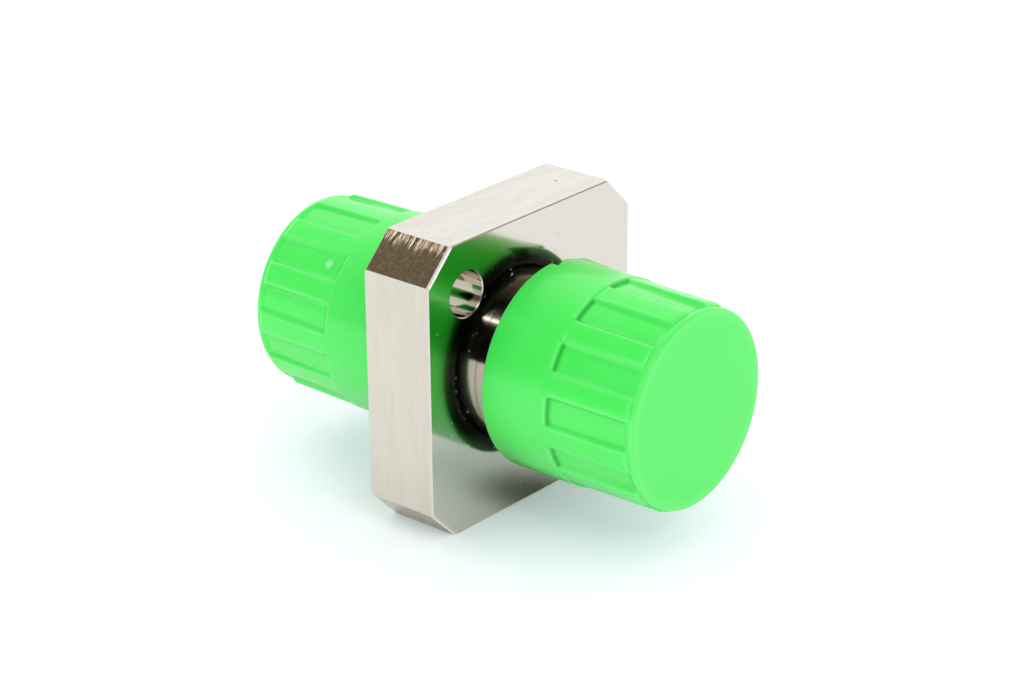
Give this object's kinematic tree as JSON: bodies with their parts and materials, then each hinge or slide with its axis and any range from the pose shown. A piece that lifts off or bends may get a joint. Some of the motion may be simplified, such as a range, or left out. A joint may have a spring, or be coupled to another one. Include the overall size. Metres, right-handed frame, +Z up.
{
  "type": "fc fiber adapter",
  "caption": "Square-flange coupler that joins threaded optical plugs end to end, with a soft ribbed dust cap pushed onto each barrel.",
  "frame": {"origin": "on the optical axis, in the middle of the flange's thickness", "axes": "+X along the optical axis towards the front cap, +Y across the flange, +Z up, with the flange standing on its lower edge"},
  "size_m": [0.0226, 0.014, 0.014],
  "materials": {
    "nickel_plate": "polished and satin nickel plate over brass",
    "ceramic": "ground white zirconia ceramic",
    "cap_plastic": "soft satin green moulded plastic"
  },
  "bodies": {
    "adapter": {"adapter_body": "nickel_plate", "sleeve_holder": "nickel_plate", "alignment_sleeve": "ceramic", "sleeve_retaining_ring": "nickel_plate"},
    "front_cap": {"dust_cap_front": "cap_plastic"},
    "rear_cap": {"dust_cap_rear": "cap_plastic"}
  },
  "joints": [
    {"name": "front_cap_pull", "type": "slide", "parent": "adapter", "child": "front_cap", "axis": [1, 0, 0], "range_m": [0, 0.02]},
    {"name": "rear_cap_pull", "type": "slide", "parent": "adapter", "child": "rear_cap", "axis": [-1, 0, 0], "range_m": [0, 0.02]}
  ]
}
